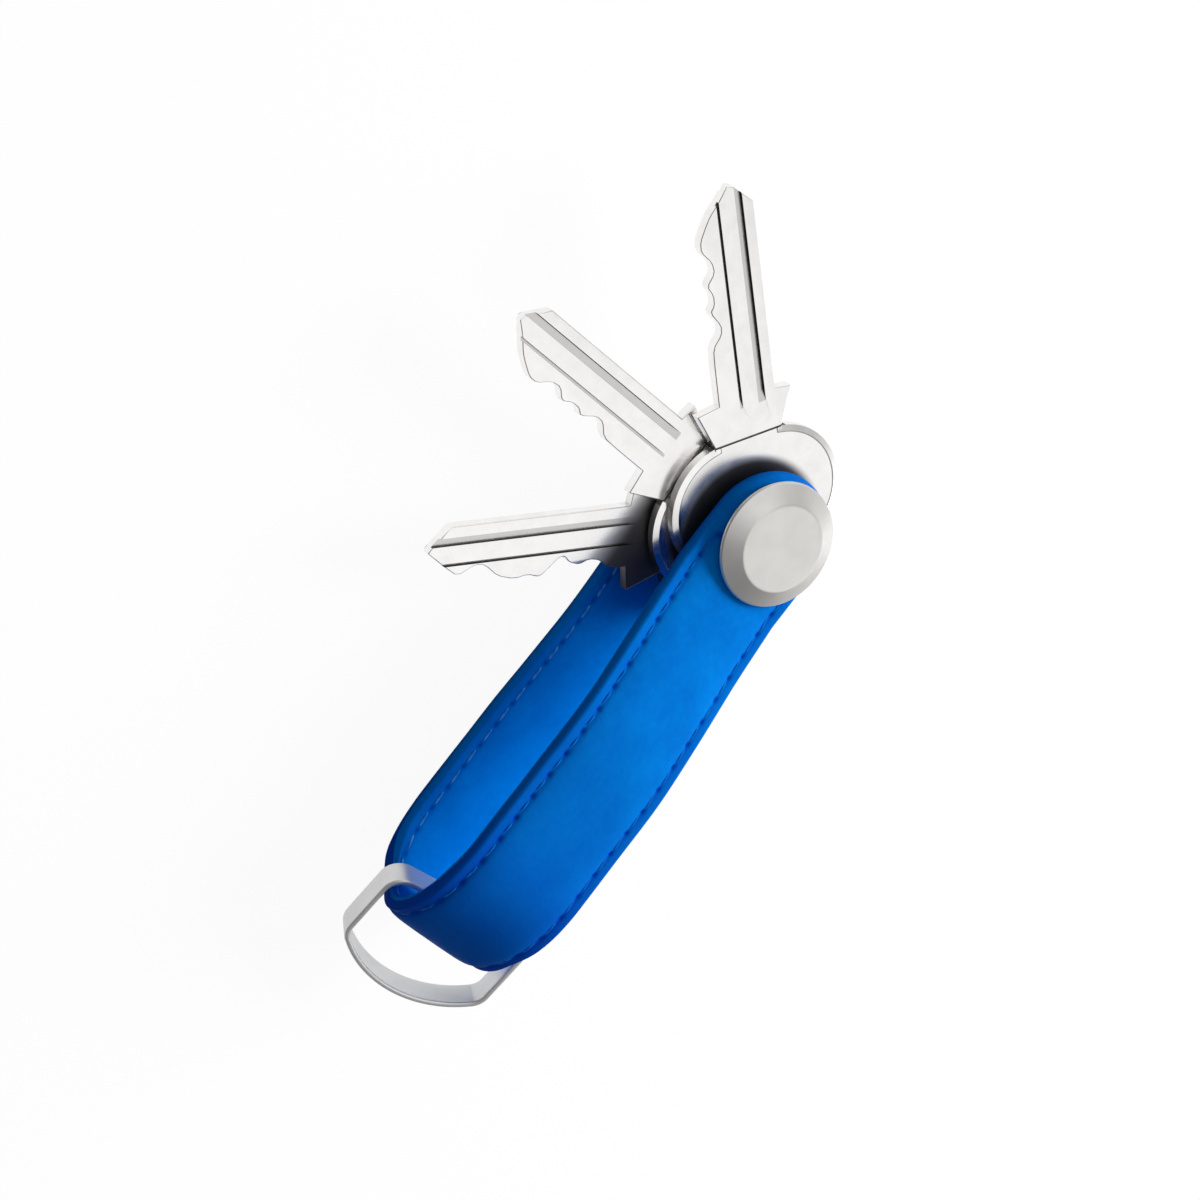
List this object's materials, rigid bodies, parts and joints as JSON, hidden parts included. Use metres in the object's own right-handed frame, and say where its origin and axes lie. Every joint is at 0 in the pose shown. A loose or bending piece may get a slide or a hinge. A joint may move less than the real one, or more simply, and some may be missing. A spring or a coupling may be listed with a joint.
{
  "type": "key organizer",
  "caption": "Folded leather key organizer: a screwed round post clamps the strap's ends and carries flat keys that swing out, with a D-ring in the fold.",
  "frame": {"origin": "On the post's axis, in the plane of the front cap's flat face.", "axes": "+Z runs along the post out of the front cap, the strap runs toward -Y and folds there, and the keys fan out toward -X."},
  "size_m": [0.0636, 0.1127, 0.0235],
  "materials": {
    "cap_steel": "bead-blasted satin stainless steel",
    "outer_leather": "smooth bright blue pigmented leather with a soft sheen",
    "lining_leather": "bright blue lining leather, slightly more matt",
    "leather_board": "bonded leather board, hidden between the leathers",
    "washer_steel": "bright stamped steel",
    "key_nickel": "nickel-plated brass with milled grooves and cuts",
    "ring_steel": "satin stainless steel band"
  },
  "bodies": {
    "holder": {"front_cap": "cap_steel", "rear_cap": "cap_steel", "strap_outer": "outer_leather", "strap_padding": "leather_board", "strap_lining": "lining_leather", "front_washer": "washer_steel", "spacer_1": "washer_steel", "spacer_2": "washer_steel", "spacer_3": "washer_steel"},
    "front_key": {"key_front": "key_nickel"},
    "middle_key": {"key_middle": "key_nickel"},
    "rear_key": {"key_rear": "key_nickel"},
    "ring": {"d_ring": "ring_steel"}
  },
  "joints": [
    {"name": "front_key_swing", "type": "hinge", "parent": "holder", "child": "front_key", "pos_m": [0, 0, -0.008], "axis": [0, 0, 1], "continuous": true},
    {"name": "middle_key_swing", "type": "hinge", "parent": "holder", "child": "middle_key", "pos_m": [0, 0, -0.01018], "axis": [0, 0, 1], "continuous": true},
    {"name": "rear_key_swing", "type": "hinge", "parent": "holder", "child": "rear_key", "pos_m": [0, 0, -0.01236], "axis": [0, 0, 1], "continuous": true},
    {"name": "ring_swing", "type": "hinge", "parent": "holder", "child": "ring", "pos_m": [0.0003, -0.0654, -0.0086], "axis": [0.9682, 0.1257, 0.2164], "range_deg": [-25, 40]}
  ]
}
